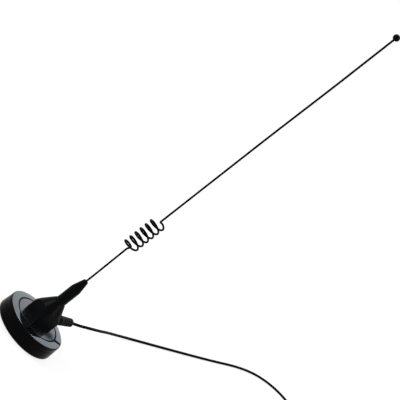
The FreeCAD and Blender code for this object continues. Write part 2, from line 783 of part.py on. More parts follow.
def coax_cable():
    """From the boot along the table to the coil."""
    start = [exit_point(BOOT_END), exit_point(BOOT_END + STRAIGHT_EXIT)]
    return cord("coax_cable", start + CABLE_POINTS + [coil_point(0)])


def coax_lead():
    """From the coil's top turn into the plug's boot."""
    last = CABLE_COIL_LAYERS - 1
    return cord("coax_lead", [coil_point(last)] + LEAD_POINTS + [plug_point(STEM_START)])


def coax_coil():
    """Outer form of the wound cable."""
    low = TIE_THICKNESS
    edge = CABLE_RADIUS
    body = turned([
        (COIL_INNER + edge, low),
        (COIL_OUTER - edge, low),
        arc((COIL_OUTER - edge, low + edge), edge, -90, 0),
        (COIL_OUTER, COIL_TOP - edge),
        arc((COIL_OUTER - edge, COIL_TOP - edge), edge, 0, 90),
        (COIL_INNER + edge, COIL_TOP),
        arc((COIL_INNER + edge, COIL_TOP - edge), edge, 90, 180),
        (COIL_INNER, low + edge),
        arc((COIL_INNER + edge, low + edge), edge, 180, 270),
    ])
    body.translate(FreeCAD.Vector(*CABLE_COIL, 0))
    return body


def cable_ties():
    """Two flat ties round the coil's bundle, each with its head outside."""
    hollow = COIL_INNER - math.sqrt(COIL_INNER**2 - TIE_WIDTH**2 / 4)
    width = COIL_WIDTH + 2 * FIT + hollow
    height = COIL_TOP - TIE_THICKNESS + FIT
    middle = (CABLE_COIL_RADIUS - hollow / 2, 0, TIE_THICKNESS + height / 2)
    outside = (width + 2 * TIE_THICKNESS, TIE_WIDTH, height + 2 * TIE_THICKNESS)
    ties = []
    for angle in TIE_ANGLES:
        band = block(outside, middle).cut(block((width, 2 * TIE_WIDTH, height), middle))
        reach = middle[0] + outside[0] / 2 + TIE_HEAD[0] / 2
        tie = band.fuse(block(TIE_HEAD, (reach, 0, TIE_HEAD_HEIGHT))).removeSplitter()
        tie.rotate(ORIGIN, Z_AXIS, angle)
        tie.translate(FreeCAD.Vector(*CABLE_COIL, 0))
        ties.append(tie)
    return Part.makeCompound(ties)


# Plug

def plug_boot():
    """Tapered boot over the cable and the crimped sleeve."""
    cable_bore = CABLE_RADIUS + FIT
    sleeve_bore = SLEEVE_RADIUS + FIT
    return to_plug(turned([
        (cable_bore, 0),
        (PLUG_BOOT_TAIL, 0),
        (PLUG_BOOT_RADIUS, SLEEVE_START),
        (PLUG_BOOT_RADIUS, PLUG_BOOT_LENGTH),
        (sleeve_bore, PLUG_BOOT_LENGTH),
        (sleeve_bore, SLEEVE_START),
        (cable_bore, SLEEVE_START),
    ]))


def crimp_sleeve():
    """Crimped sleeve between the plug's stem and the boot."""
    return to_plug(ring(SLEEVE_RADIUS, STEM_RADIUS + FIT, SLEEVE_START, COLLAR_START))


def plug_body():
    """Turned body: stem, collar with two flats, and slotted contact barrel."""
    groove = BARREL_RADIUS - SNAP_SINK
    snap_end = SNAP_START + SNAP_THICKNESS
    body = turned([
        (STEM_BORE, STEM_START),
        (STEM_RADIUS, STEM_START),
        (STEM_RADIUS, COLLAR_START),
        (COLLAR_RADIUS, COLLAR_START),
        (COLLAR_RADIUS, COLLAR_END),
        (BARREL_RADIUS, COLLAR_END),
        (BARREL_RADIUS, SNAP_START),
        (groove, SNAP_START),
        (groove, snap_end),
        (BARREL_RADIUS, snap_end),
        (BARREL_RADIUS, BARREL_END),
        (BARREL_BORE, BARREL_END),
        (BARREL_BORE, BARREL_BACK),
        (STEM_BORE, BARREL_BACK),
    ])
    cuts = []
    for side in (-1, 1):
        offset = side * (COLLAR_FLATS / 2 + COLLAR_RADIUS)
        middle = (COLLAR_START + COLLAR_END) / 2
        size = (2 * COLLAR_RADIUS, 4 * COLLAR_RADIUS, COLLAR_END - COLLAR_START)
        cuts.append(block(size, (offset, 0, middle)))
    slot_size = (BARREL_SLOT_WIDTH, 3 * BARREL_RADIUS, 2 * BARREL_SLOT_LENGTH)
    for k in range(BARREL_SLOTS // 2):
        slot = block(slot_size, (0, 0, BARREL_END))
        slot.rotate(ORIGIN, Z_AXIS, 360 * k / BARREL_SLOTS)
        cuts.append(slot)
    return to_plug(body.cut(cuts))


def coupling_nut():
    """Knurled nut that turns on the barrel."""
    bore = BARREL_RADIUS + FIT
    body = turned([
        (bore, NUT_START),
        (NUT_RADIUS - NUT_EDGE, NUT_START),
        (NUT_RADIUS, NUT_START + NUT_EDGE),
        (NUT_RADIUS, NUT_END - NUT_EDGE),
        (NUT_RADIUS - NUT_EDGE, NUT_END),
        (NUT_THREAD + NUT_EDGE, NUT_END),
        (NUT_THREAD, NUT_END - NUT_EDGE),
        (NUT_THREAD, NUT_START + NUT_WALL),
        (bore, NUT_START + NUT_WALL),
    ])
    length = NUT_END - NUT_START - 2 * KNURL_MARGIN
    side = KNURL_DEPTH * math.sqrt(2)
    cuts = []
    for k in range(KNURLS):
        cut = block((side, side, length), (0, 0, (NUT_START + NUT_END) / 2))
        cut.rotate(ORIGIN, Z_AXIS, 45)
        cut.translate(FreeCAD.Vector(NUT_RADIUS, 0, 0))
        cut.rotate(ORIGIN, Z_AXIS, 360 * k / KNURLS)
        cuts.append(cut)
    return to_plug(body.cut(cuts))


def nut_ring():
    """Open snap ring that keeps the nut on the barrel."""
    inner = BARREL_RADIUS - SNAP_SINK + FIT
    start = SNAP_START + FIT
    end = SNAP_START + SNAP_THICKNESS - FIT
    opening = block((SNAP_RADIUS, BARREL_RADIUS / 2, SNAP_THICKNESS), (SNAP_RADIUS, 0, (start + end) / 2))
    return to_plug(ring(SNAP_RADIUS, inner, start, end).cut(opening))


def plug_gasket():
    """Soft ring that seals against the mating jack."""
    return to_plug(ring(SEAT_RADIUS, BARREL_RADIUS + FIT, SEAT_START, SEAT_START + SEAT_THICKNESS))


def plug_insulator():
    """Insulator inside the barrel."""
    return to_plug(ring(BARREL_BORE - FIT, PIN_RADIUS + FIT, BARREL_BACK, CORE_END))


def plug_pin():
    """Centre pin with a pointed tip."""
    return to_plug(turned([
        (0, PIN_START),
        (PIN_RADIUS, PIN_START),
        (PIN_RADIUS, PIN_END - PIN_POINT),
        (PIN_RADIUS / 3, PIN_END),
        (0, PIN_END),
    ]))


NODES = [
    base_cover, base_ring, steel_cup, ring_magnet, pole_piece, bottom_pad, housing_screws,
    housing, housing_gasket, insulator_bush, contact_stud, solder_lug, lug_washer, stud_nut,
    strain_relief, coax_entry, braid_ferrule, ground_strap, coax_dielectric, centre_conductor,
    foot_seal, ferrule_insert, ferrule_sleeve, whip, ball_tip,
    coax_cable, coax_coil, coax_lead, cable_ties,
    plug_boot, crimp_sleeve, plug_body, coupling_nut, nut_ring, plug_gasket, plug_insulator, plug_pin,
]

os.makedirs("parts", exist_ok=True)
for node in NODES:
    piece = node()
    piece.exportStep("parts/" + node.__name__ + ".step")
    print(node.__name__, len(piece.Solids), piece.isValid(), round(piece.Volume, 1))
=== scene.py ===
import json
import math

import bpy
from bpy.props import FloatProperty, FloatVectorProperty, IntProperty, PointerProperty
from mathutils import Matrix, Vector


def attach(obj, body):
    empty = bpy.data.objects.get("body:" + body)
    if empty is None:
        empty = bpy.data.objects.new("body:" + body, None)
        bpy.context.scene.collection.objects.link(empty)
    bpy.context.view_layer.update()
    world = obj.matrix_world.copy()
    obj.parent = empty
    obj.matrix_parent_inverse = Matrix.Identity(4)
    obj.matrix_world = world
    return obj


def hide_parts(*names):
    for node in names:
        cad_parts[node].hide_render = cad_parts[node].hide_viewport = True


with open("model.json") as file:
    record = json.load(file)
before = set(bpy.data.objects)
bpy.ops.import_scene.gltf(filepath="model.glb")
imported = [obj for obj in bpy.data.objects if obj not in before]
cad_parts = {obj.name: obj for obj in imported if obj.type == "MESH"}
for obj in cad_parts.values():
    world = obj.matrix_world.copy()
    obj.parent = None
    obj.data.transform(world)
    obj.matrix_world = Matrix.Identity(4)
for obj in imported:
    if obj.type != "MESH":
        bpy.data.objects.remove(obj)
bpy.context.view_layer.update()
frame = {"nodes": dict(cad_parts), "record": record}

bl_info = {
    "name": "Magnetic Mount Antenna",
    "version": (1, 0, 0),
    "blender": (4, 5, 0),
    "location": "View3D > Sidebar > Antenna",
    "description": "Builds a vehicle antenna on a magnetic base, with its cable and plug",
    "category": "Object",
}

MM = 0.001

# Millimetres. Room round the wire, the cable and the barrel where they pass through a piece.
SLIP = 0.05
# Millimetres. Half the width of the seam between the cap and the side wall.
HALF_SEAM = 0.06
# Noise textures mostly lie between these two levels.
NOISE_LOW, NOISE_HIGH = 0.3, 0.7
# Each lamp's name, place and width in metres, and the setting that holds its power.
LAMPS = (
    ("key_lamp", (-0.5, 0.9, 1.9), 1.6, "key_power"),
    ("fill_lamp", (1.91, 0.37, 1.13), 0.75, "fill_power"),
    ("side_lamp", (-1.0, -1.70, 1.10), 0.75, "side_power"),
)
# The lamps are turned to this point.
LAMPS_AIM = (0, 0, 0.1)
# Rays that see the floor and the surroundings as white.
SEEING_RAYS = ("Is Camera Ray", "Is Glossy Ray", "Is Transmission Ray")

# Route of the cable in metres: from the boot to the coil, and from the coil to the plug.
CABLE_ROUTE = [
    (0.0, 0.02937, 0.02564),
    (0.0, 0.0372, 0.0262),
    (-0.0020, 0.0500, 0.0270),
    (-0.0095, 0.0715, 0.0243),
    (-0.0227, 0.0960, 0.0177),
    (-0.0360, 0.1210, 0.0104),
    (-0.0482, 0.1445, 0.0039),
    (-0.0555, 0.1650, 0.0012),
    (-0.0610, 0.1915, 0.0012),
    (-0.0679, 0.2250, 0.0012),
    (-0.0767, 0.2665, 0.0012),
    (-0.0862, 0.3105, 0.0012),
    (-0.0962, 0.3520, 0.0012),
    (-0.1006, 0.3820, 0.0012),
    (-0.0996, 0.4065, 0.0012),
    (-0.0926, 0.4275, 0.0012),
    (-0.0800, 0.4415, 0.0012),
    (-0.0645, 0.4471, 0.0014),
]
LEAD_ROUTE = [
    (-0.0395, 0.4515, 0.0139),
    (-0.0305, 0.4531, 0.0112),
    (-0.0220, 0.4546, 0.0075),
    (-0.00912, 0.45690, 0.0074),
]


def length_setting(name, description, default, **limits):
    """Setting for a length in metres."""
    return FloatProperty(
        name=name, description=description, default=default, subtype="DISTANCE", unit="LENGTH", **limits)


def angle_setting(name, description, degrees):
    """Setting for an angle, with its default in degrees."""
    return FloatProperty(
        name=name, description=description, default=math.radians(degrees), subtype="ANGLE", unit="ROTATION")


def place_setting(name, description, default):
    """Setting for a point, or for the sides of a block, in metres."""
    return FloatVectorProperty(
        name=name, description=description, default=default, size=3, subtype="XYZ", unit="LENGTH")


def colour_setting(name, description, default):
    """Setting for a colour."""
    return FloatVectorProperty(
        name=name, description=description, default=default, size=3, min=0.0, max=1.0, subtype="COLOR")


class StudioSettings(bpy.types.PropertyGroup):
    floor_size: length_setting("Floor", "Side of the square floor", default=6.0, min=1.0)
    floor_colour: colour_setting("Floor colour", "Pale floor under the antenna", default=(0.86, 0.86, 0.86))
    key_power: FloatProperty(
        name="Key lamp", description="Power of the large lamp", default=26.0, min=0.0, unit="POWER")
    fill_power: FloatProperty(
        name="Fill lamp", description="Power of the lamp on the right", default=20.0, min=0.0, unit="POWER")
    side_power: FloatProperty(
        name="Side lamp", description="Power of the lamp on the left", default=30.0, min=0.0, unit="POWER")
    sky: FloatProperty(
        name="Sky", description="Soft light from all round", default=0.55, min=0.0, max=1.0, subtype="FACTOR")
    eye: place_setting("Eye", "Where the camera stands", default=(0.8249, -0.9831, 0.5756))
    look_at: place_setting("Look at", "Point in the middle of the frame", default=(0.00363, 0.00305, 0.17951))
    roll: angle_setting("Roll", "Turn of the camera about its line of sight", degrees=51.96)
    focal_length: FloatProperty(
        name="Lens", description="Focal length in millimetres", default=159.98, min=10.0, unit="CAMERA")


class FinishSettings(bpy.types.PropertyGroup):
    plating: colour_setting("Satin plating", "Flat middle of the cap", default=(0.125, 0.138, 0.152))
    band: colour_setting(
        "Bright plating", "Mirror band outside the cap's groove", default=(0.150, 0.178, 0.202))
    plastic: colour_setting("Black plastic", "Moulded housing and foot", default=(0.0009, 0.0010, 0.0012))
    wall: colour_setting("Wall plastic", "Glossy side wall", default=(0.0009, 0.0009, 0.0010))
    rubber: colour_setting("Black rubber", "Boot and seals", default=(0.0030, 0.0031, 0.0034))
    jacket: colour_setting("Cable jacket", "Smooth outer skin of the cable", default=(0.0012, 0.0012, 0.0014))
    wire: colour_setting("Black wire", "Coated spring steel", default=(0.0012, 0.0012, 0.0013))


class BaseSettings(bpy.types.PropertyGroup):
    radius: length_setting("Radius", "Radius of the base", default=0.028, min=0.01)
    height: length_setting(
        "Height", "From the floor to the flat middle of the cap", default=0.0144, min=0.005)
    crown: length_setting(
        "Crown", "How far the cap falls from its groove to its rim", default=0.0006, min=0.0)
    flare: length_setting(
        "Flare", "How much wider the side wall is at its foot than at the rim", default=0.00075, min=0.0)
    lift: length_setting("Lift", "Height of the side wall's foot above the floor", default=0.0003, min=0.0)
    pad_radius: length_setting("Pad radius", "Radius of the thin pad underneath", default=0.0251, min=0.01)
    pad_thickness: length_setting(
        "Pad thickness", "Thickness of the pad that the magnet grips through", default=0.0008, min=0.0002)
    groove: length_setting("Groove", "Radius of the groove in the cap", default=0.0206, min=0.005)
    seam: length_setting(
        "Seam", "Height of the seam between the cap and the side wall", default=0.0091, min=0.002)


class ExitSettings(bpy.types.PropertyGroup):
    rise: angle_setting("Rise", "Angle of the cable's exit above the floor", degrees=13.3)
    height: length_setting("Height", "Where the exit axis crosses the whip's axis", default=0.0187, min=0.0)
    boot_start: length_setting(
        "Boot start", "Inner end of the boot, along the exit axis", default=0.00998, min=0.0)
    spout_end: length_setting(
        "Spout end", "Where the boot leaves the spout, along the exit axis", default=0.01818, min=0.0)
    boot_length: length_setting(
        "Boot length", "Length of the boot outside the spout", default=0.012, min=0.002)
    boot_radius: length_setting("Boot radius", "Radius of the boot's first rib", default=0.00405, min=0.001)
    boot_end_radius: length_setting(
        "Boot end", "Radius of the boot's rounded end", default=0.00355, min=0.001)
    ribs: IntProperty(name="Ribs", description="Ribs of the boot", default=5, min=2)
    rib_pitch: length_setting("Rib pitch", "Distance from rib to rib", default=0.00215, min=0.0005)
    rib_gap: length_setting("Rib gap", "Width of the gap between two ribs", default=0.00085, min=0.0001)
    rib_depth: length_setting("Rib depth", "Depth of the gap between two ribs", default=0.00075, min=0.0001)


class WhipSettings(bpy.types.PropertyGroup):
    foot: length_setting("Foot", "Height of the whip's moulded foot above the floor", default=0.0396, min=0.0)
    foot_radius: length_setting("Foot radius", "Radius of the moulded foot", default=0.0046, min=0.001)
    taper: length_setting("Taper", "Height at which the foot begins to taper", default=0.0554, min=0.0)
    top: length_setting("Top", "Height of the foot's upper end", default=0.0663, min=0.0)
    top_radius: length_setting("Top radius", "Radius of the foot's upper end", default=0.0022, min=0.0005)
    wire: length_setting("Wire", "Radius of the wire with its black coat", default=0.00082, min=0.0001)
    wire_foot: length_setting(
        "Wire foot", "Height of the wire's end inside the foot", default=0.0515, min=0.0)
    coil_start: length_setting("Coil start", "Height of the coil's first turn", default=0.1113, min=0.0)
    coil_radius: length_setting(
        "Coil radius", "Radius of the coil to the wire's middle", default=0.0058, min=0.001)
    coil_pitch: length_setting("Coil pitch", "Rise of the coil in one turn", default=0.00526, min=0.001)
    coil_turns: FloatProperty(name="Coil turns", description="Turns of the open coil", default=5.853, min=0.5)
    coil_angle: angle_setting("Coil angle", "Where the first turn starts, from +X", degrees=140.0)
    lead: length_setting("Lead", "Height of the bends at the coil's ends", default=0.0024, min=0.0005)
    lean: length_setting(
        "Lean", "How far the hand-bent wire stands out of line at its coil", default=0.00058, min=0.0)
    lean_heading: angle_setting(
        "Lean heading", "Side to which the wire stands out of line, from +X", degrees=220.0)
    ball_height: length_setting("Ball height", "Height of the ball's centre", default=0.3723, min=0.0)
    ball: length_setting("Ball", "Radius of the ball", default=0.00275, min=0.0005)


class CableSettings(bpy.types.PropertyGroup):
    diameter: length_setting("Diameter", "Outer diameter of the cable", default=0.0024, min=0.0005)
    coil_centre: place_setting(
        "Coil centre", "Middle of the put-away coil", default=(-0.0513, 0.4689, 0.0008))
    coil_outer: length_setting("Outer turn", "Radius of the coil's outer turns", default=0.0192, min=0.005)
    coil_angle: angle_setting("Entry", "Where the cable enters the coil", degrees=-80.0)
    layers: IntProperty(name="Layers", description="Layers of turns in the coil", default=6, min=1)
    turns: IntProperty(name="Turns", description="Turns across a layer", default=4, min=1)
    length: length_setting("Length", "Length of the whole cable", default=2.8, min=0.1)


class TieSettings(bpy.types.PropertyGroup):
    reach: length_setting(
        "Reach", "From the coil's middle to the middle of the tied bundle", default=0.01435, min=0.001)
    across: length_setting("Across", "Inner width of a tie round the bundle", default=0.0122, min=0.001)
    tall: length_setting("Tall", "Inner height of a tie round the bundle", default=0.01445, min=0.001)
    thickness: length_setting("Thickness", "Thickness of the tie's band", default=0.0008, min=0.0002)
    width: length_setting("Width", "Width of the tie's band", default=0.0026, min=0.0005)
    head: place_setting("Head", "Size of the tie's head", default=(0.0028, 0.0042, 0.0036))
    head_height: length_setting(
        "Head height", "Height of the head's middle above the floor", default=0.009, min=0.0)


class PlugSettings(bpy.types.PropertyGroup):
    start: place_setting("Start", "Tail of the plug's boot", default=(-0.0170, 0.4555, 0.0074))
    heading: angle_setting("Heading", "Direction of the plug on the floor", degrees=10.1)
    knurls: IntProperty(name="Knurls", description="Grooves round the coupling nut", default=30, min=8)
    nut_radius: length_setting("Nut radius", "Outer radius of the coupling nut", default=0.0073, min=0.001)
    nut_start: length_setting(
        "Nut start", "Back face of the nut, along the plug's axis", default=0.0195, min=0.0)
    nut_end: length_setting("Nut end", "Open face of the nut, along the plug's axis", default=0.0335, min=0.0)
    thread: length_setting("Thread", "Radius of the nut's thread", default=0.0051, min=0.001)
    barrel: length_setting("Barrel", "Radius of the contact barrel", default=0.00405, min=0.001)


def settings():
    """The antenna's own settings on the scene."""
    return bpy.context.scene.antenna


def deselect():
    """Leave nothing selected, in object mode."""
    if bpy.context.object and bpy.context.object.mode != "OBJECT":
        bpy.ops.object.mode_set(mode="OBJECT")
    bpy.ops.object.select_all(action="DESELECT")


def put_on(piece, material):
    """Give a piece one material."""
    piece.data.materials.clear()
    piece.data.materials.append(material)


def pick(*pieces):
    """Leave only these pieces selected, the first one active."""
    deselect()
    for piece in pieces:
        piece.select_set(True)
    bpy.context.view_layer.objects.active = pieces[0]


def smooth(piece, angle=35.0):
    """Smooth shading, with edges sharper than the angle kept."""
    pick(piece)
    bpy.ops.object.shade_smooth_by_angle(angle=math.radians(angle))


def settle(piece):
    """Put a piece's place and turn into its mesh."""
    pick(piece)
    bpy.ops.object.transform_apply(location=True, rotation=True, scale=True)


def eased(outline, steps=4):
    """Outline in millimetres whose corners (r, z, radius) are rounded; a corner (r, z) stays sharp."""
    done = []
    for k, corner in enumerate(outline):
        here = Vector((corner[0], 0, corner[1]))
        if len(corner) < 3:
            done.append(here)
            continue
        before, after = outline[k - 1], outline[(k + 1) % len(outline)]
        back = (Vector((before[0], 0, before[1])) - here).normalized()
        onward = (Vector((after[0], 0, after[1])) - here).normalized()
        half = back.angle(onward) / 2
        centre = here + (back + onward).normalized() * corner[2] / math.sin(half)
        reach = corner[2] / math.tan(half)
        start = here + back * reach - centre
        end = here + onward * reach - centre
        done += [centre + start.slerp(end, step / steps) * corner[2] for step in range(steps + 1)]
    return done


def turned_piece(name, outline, steps):
    """Piece turned about Z from a closed outline of points in millimetres."""
    same_place = 0.001 * MM
    deselect()
    bpy.ops.mesh.primitive_plane_add(size=MM, location=(0, 0, 0))
    piece = bpy.context.object
    piece.name = name
    bpy.ops.object.mode_set(mode="EDIT")
    bpy.ops.mesh.select_mode(type="VERT")
    bpy.ops.mesh.merge(type="CENTER")
    bpy.ops.transform.translate(value=outline[0] * MM)
    here = outline[0]
    for point in outline[1:] + outline[:1]:
        bpy.ops.mesh.extrude_vertices_move(TRANSFORM_OT_translate={"value": (point - here) * MM})
        here = point
    bpy.ops.mesh.select_all(action="SELECT")
    bpy.ops.mesh.remove_doubles(threshold=same_place)
    bpy.ops.mesh.spin(steps=steps, angle=2 * math.pi, center=(0, 0, 0), axis=(0, 0, 1))
    bpy.ops.mesh.select_all(action="SELECT")
    bpy.ops.mesh.remove_doubles(threshold=same_place)
    bpy.ops.mesh.normals_make_consistent(inside=False)
    bpy.ops.object.mode_set(mode="OBJECT")
    smooth(piece)
    return piece


def round_bar(name, kind, points, radius):
    """Round bar along a row of points, as a curve."""
    deselect()
    bpy.ops.curve.primitive_nurbs_path_add(radius=1.0, location=(0, 0, 0))
    bar = bpy.context.object
    bar.name = name
    curve = bar.data
    curve.splines.clear()
    spline = curve.splines.new(kind)
    spline.points.add(len(points) - 1)
    for point, place in zip(spline.points, points):
        point.co = (*place, 1.0)
    curve.dimensions = "3D"
    curve.bevel_depth = radius
    curve.bevel_resolution = 5
    curve.use_fill_caps = True
    return bar


def to_exit(piece):
    """Move a piece made along Z onto the cable's exit axis."""
    own = settings().exit
    piece.rotation_euler = (own.rise - math.pi / 2, 0, 0)
    piece.location = (0, 0, own.height)
    settle(piece)


def to_plug(piece):
    """Move a piece made along Z onto the plug's axis."""
    own = settings().plug
    piece.rotation_euler = (0, math.pi / 2, own.heading)
    piece.location = own.start
    settle(piece)


def fitted(piece, body, slot, *nodes):
    """Let a finished piece ride on its body, for the nodes that it stands for."""
    put_on(piece, finish(slot))
    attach(piece, body)
    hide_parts(*nodes)


# Materials

class Recipe:
    """Nodes of a material or of the surroundings, with the steps that they share."""

    def __init__(self, owner):
        owner.use_nodes = True
        self.nodes = owner.node_tree.nodes
        self.link = owner.node_tree.links.new

    def feed(self, node, inputs):
        """Link each value to its input, or set it there if it is a plain number or colour."""
        for socket, value in inputs.items():
            if isinstance(value, bpy.types.NodeSocket):
                self.link(value, node.inputs[socket])
            else:
                node.inputs[socket].default_value = value

    def add(self, kind, inputs, **choices):
        """New node, with its choices made and its inputs fed."""
        node = self.nodes.new("ShaderNode" + kind)
        for name, choice in choices.items():
            setattr(node, name, choice)
        self.feed(node, inputs)
        return node

    def surface(self, inputs):
        """Feed the material's shader."""
        self.feed(self.nodes["Principled BSDF"], inputs)

    def own_places(self):
        """The piece's own coordinates."""
        return self.add("TexCoord", {}).outputs["Object"]

    def from_axis(self):
        """Distance from the whip's axis."""
        flat = self.add("VectorMath", {0: self.own_places(), 1: (1, 1, 0)}, operation="MULTIPLY")
        return self.add("VectorMath", {0: flat.outputs[0]}, operation="LENGTH").outputs["Value"]

    def noise(self, scale, detail=3.0, stretch=(1.0, 1.0, 1.0)):
        """Noise on the piece's own coordinates."""
        place = self.add("Mapping", {"Vector": self.own_places(), "Scale": stretch})
        cloud = self.add("TexNoise", {"Vector": place.outputs["Vector"], "Scale": scale, "Detail": detail})
        return cloud.outputs["Fac"]

    def ramp(self, value, low, high, start=0.0, end=1.0):
        """A number that goes from low to high as a value goes from start to end."""
        levels = {"Value": value, "From Min": start, "From Max": end, "To Min": low, "To Max": high}
        return self.add("MapRange", levels).outputs["Result"]

    def product(self, one, other):
        """Two numbers multiplied."""
        return self.add("Math", {0: one, 1: other}, operation="MULTIPLY").outputs[0]

    def blend(self, share, one, other):
        """A colour that goes from one to the other."""
        return self.add("Mix", {0: share, 6: one, 7: other}, data_type="RGBA").outputs[2]

    def tint(self, value, colour, share):
        """A colour that wanders by a share of itself."""
        darker = (*[c * (1 - share) for c in colour], 1)
        lighter = (*[min(1, c * (1 + share)) for c in colour], 1)
        return self.blend(value, darker, lighter)

    def relief(self, value, height):
        """Bump of a height in metres."""
        return self.add("Bump", {"Height": value, "Distance": height, "Strength": 1.0}).outputs["Normal"]

    def seen(self):
        """1 for the rays that see, and 0 for those that only light."""
        rays = self.add("LightPath", {})
        value = rays.outputs[SEEING_RAYS[0]]
        for name in SEEING_RAYS[1:]:
            value = self.add("Math", {0: value, 1: rays.outputs[name]}, operation="MAXIMUM").outputs[0]
        return value


def moulded(name, colour, roughness, grain, depth, shine):
    """Moulded plastic or rubber, its eroded grain and depth in metres, with gloss that wanders a little."""
    recipe = Recipe(bpy.data.materials.new(name + "_finish"))
    cloud = recipe.noise(90.0)
    recipe.surface({
        "Base Color": recipe.tint(cloud, colour, 0.18),
        "Roughness": recipe.ramp(cloud, roughness * 0.88, roughness * 1.12, NOISE_LOW, NOISE_HIGH),
        "Specular IOR Level": shine,
        "Normal": recipe.relief(recipe.noise(1 / grain, 2.0), depth),
    })


def metal(name, colour, roughness, stretch):
    """Metal with fine tool marks drawn out along one direction."""
    recipe = Recipe(bpy.data.materials.new(name + "_finish"))
    marks = recipe.noise(2500.0, 2.0, stretch)
    recipe.surface({
        "Metallic": 1.0,
        "Base Color": recipe.tint(recipe.noise(140.0), colour, 0.06),
        "Roughness": recipe.ramp(marks, roughness * 0.8, roughness * 1.25, NOISE_LOW, NOISE_HIGH),
        "Normal": recipe.relief(marks, 0.000003),
    })


def plating(name, middle, band, edge):
    """Dark plating: satin in the middle of the cap, mirror bright outside an edge in the groove."""
    recipe = Recipe(bpy.data.materials.new(name + "_finish"))
    blur = 0.02 * MM
    outside = recipe.ramp(recipe.from_axis(), 0.0, 1.0, edge - blur, edge + blur)
    cloud = recipe.noise(160.0)
    height = recipe.product(recipe.noise(9000.0, 2.0), recipe.ramp(outside, 1.0, 0.02))
    recipe.surface({
        "Metallic": 1.0,
        "Base Color": recipe.blend(outside, recipe.tint(cloud, middle, 0.04), recipe.tint(cloud, band, 0.03)),
        "Roughness": recipe.ramp(outside, 0.2, 0.05),
        "Normal": recipe.relief(height, 0.000002),
    })


def finish(slot):
    """Material made for a slot of the record."""
    return bpy.data.materials[slot + "_finish"]


class ANTENNA_OT_studio(bpy.types.Operator):
    """Pale floor, soft lamps, white surroundings and the camera"""
    bl_idname = "antenna.studio"
    bl_label = "Studio"

    def execute(self, context):
        own = settings().studio
        self.floor(own)
        self.surroundings(own)
        for name, place, width, power in LAMPS:
            self.lamp(name, place, width, getattr(own, power))
        self.camera(own)
        context.scene.view_settings.view_transform = "Standard"
        return {"FINISHED"}

    @staticmethod
    def floor(own):
        """Floor that shows white, and keeps the soft shadows near the antenna."""
        deselect()
        bpy.ops.mesh.primitive_plane_add(size=own.floor_size, location=(0, 0, 0))
        floor = bpy.context.object
        floor.name = "floor"
        material = bpy.data.materials.new("pale_floor_finish")
        recipe = Recipe(material)
        recipe.surface({"Base Color": (*own.floor_colour, 1), "Roughness": 0.9, "Specular IOR Level": 0.1})
        near, far, near_share = 0.45, 1.6, 0.75
        white = recipe.ramp(recipe.from_axis(), near_share, 1.0, near, far)
        mix = recipe.add("MixShader", {
            0: recipe.product(recipe.seen(), white),
            1: recipe.nodes["Principled BSDF"].outputs[0],
            2: recipe.add("Emission", {"Strength": 1.0}).outputs[0],
        })
        recipe.feed(recipe.nodes["Material Output"], {"Surface": mix.outputs[0]})
        put_on(floor, material)

    @staticmethod
    def surroundings(own):
        """White all round to look at, and a dimmer sky to light by."""
        world = bpy.data.worlds.new("white_surroundings")
        bpy.context.scene.world = world
        recipe = Recipe(world)
        strength = recipe.ramp(recipe.seen(), own.sky, 1.0)
        recipe.feed(recipe.nodes["Background"], {"Color": (1, 1, 1, 1), "Strength": strength})

    @staticmethod
    def lamp(name, place, width, power):
        """Soft square lamp, turned to the antenna."""
        deselect()
        way = (Vector(LAMPS_AIM) - Vector(place)).to_track_quat("-Z", "Y").to_euler()
        bpy.ops.object.light_add(type="AREA", location=place, rotation=way)
        lamp = bpy.context.object
        lamp.name = name
        lamp.data.size = width
        lamp.data.energy = power

    @staticmethod
    def camera(own):
        """Camera at the photograph's angle, rolled about its line of sight."""
        deselect()
        forward = (Vector(own.look_at) - Vector(own.eye)).normalized()
        level = forward.cross(Vector((0, 0, 1))).normalized()
        upright = level.cross(forward)
        across = level * math.cos(own.roll) + upright * math.sin(own.roll)
        up = upright * math.cos(own.roll) - level * math.sin(own.roll)
        way = Matrix((across, up, -forward)).transposed().to_euler()
        bpy.ops.object.camera_add(location=own.eye, rotation=way)
        camera = bpy.context.object
        camera.name = "camera"
        camera.data.sensor_width = 36.0
        camera.data.lens = own.focal_length
        bpy.context.scene.camera = camera


class ANTENNA_OT_finishes(bpy.types.Operator):
    """Materials for every slot of the antenna"""
    bl_idname = "antenna.finishes"
    bl_label = "Make finishes"

    def execute(self, context):
        own = settings().finish
        plating("dark_plating", own.plating, own.band, settings().base.groove)
        moulded("wall_plastic", own.wall, roughness=0.26, grain=0.0009, depth=0.000003, shine=0.03)
        moulded("black_plastic", own.plastic, roughness=0.38, grain=0.00022, depth=0.000006, shine=0.03)
        moulded("black_rubber", own.rubber, roughness=0.5, grain=0.0003, depth=0.00001, shine=0.1)
        moulded("cable_jacket", own.jacket, roughness=0.55, grain=0.0012, depth=0.00001, shine=0.01)
        moulded("black_wire", own.wire, roughness=0.35, grain=0.0004, depth=0.000004, shine=0.01)
        moulded("ferrite", (0.022, 0.022, 0.023), roughness=0.62, grain=0.0004, depth=0.00003, shine=0.5)
        moulded("white_plastic", (0.78, 0.77, 0.72), roughness=0.4, grain=0.0004, depth=0.000006, shine=0.4)
        moulded("nylon", (0.012, 0.012, 0.0125), roughness=0.42, grain=0.0006, depth=0.000008, shine=0.4)
        metal("steel", (0.55, 0.55, 0.54), roughness=0.32, stretch=(1, 8, 1))
        metal("brass", (0.66, 0.47, 0.19), roughness=0.24, stretch=(1, 1, 12))
        metal("nickel", (0.48, 0.465, 0.435), roughness=0.2, stretch=(10, 1, 1))
        metal("copper", (0.72, 0.33, 0.18), roughness=0.3, stretch=(1, 1, 1))
        return {"FINISHED"}


def wall_radius(own, height):
    """Radius of the flared side wall at a height, all in millimetres."""
    rim = (own.height - own.crown) / MM
    lift = own.lift / MM
    return (own.radius + own.flare * (rim - height) / (rim - lift)) / MM


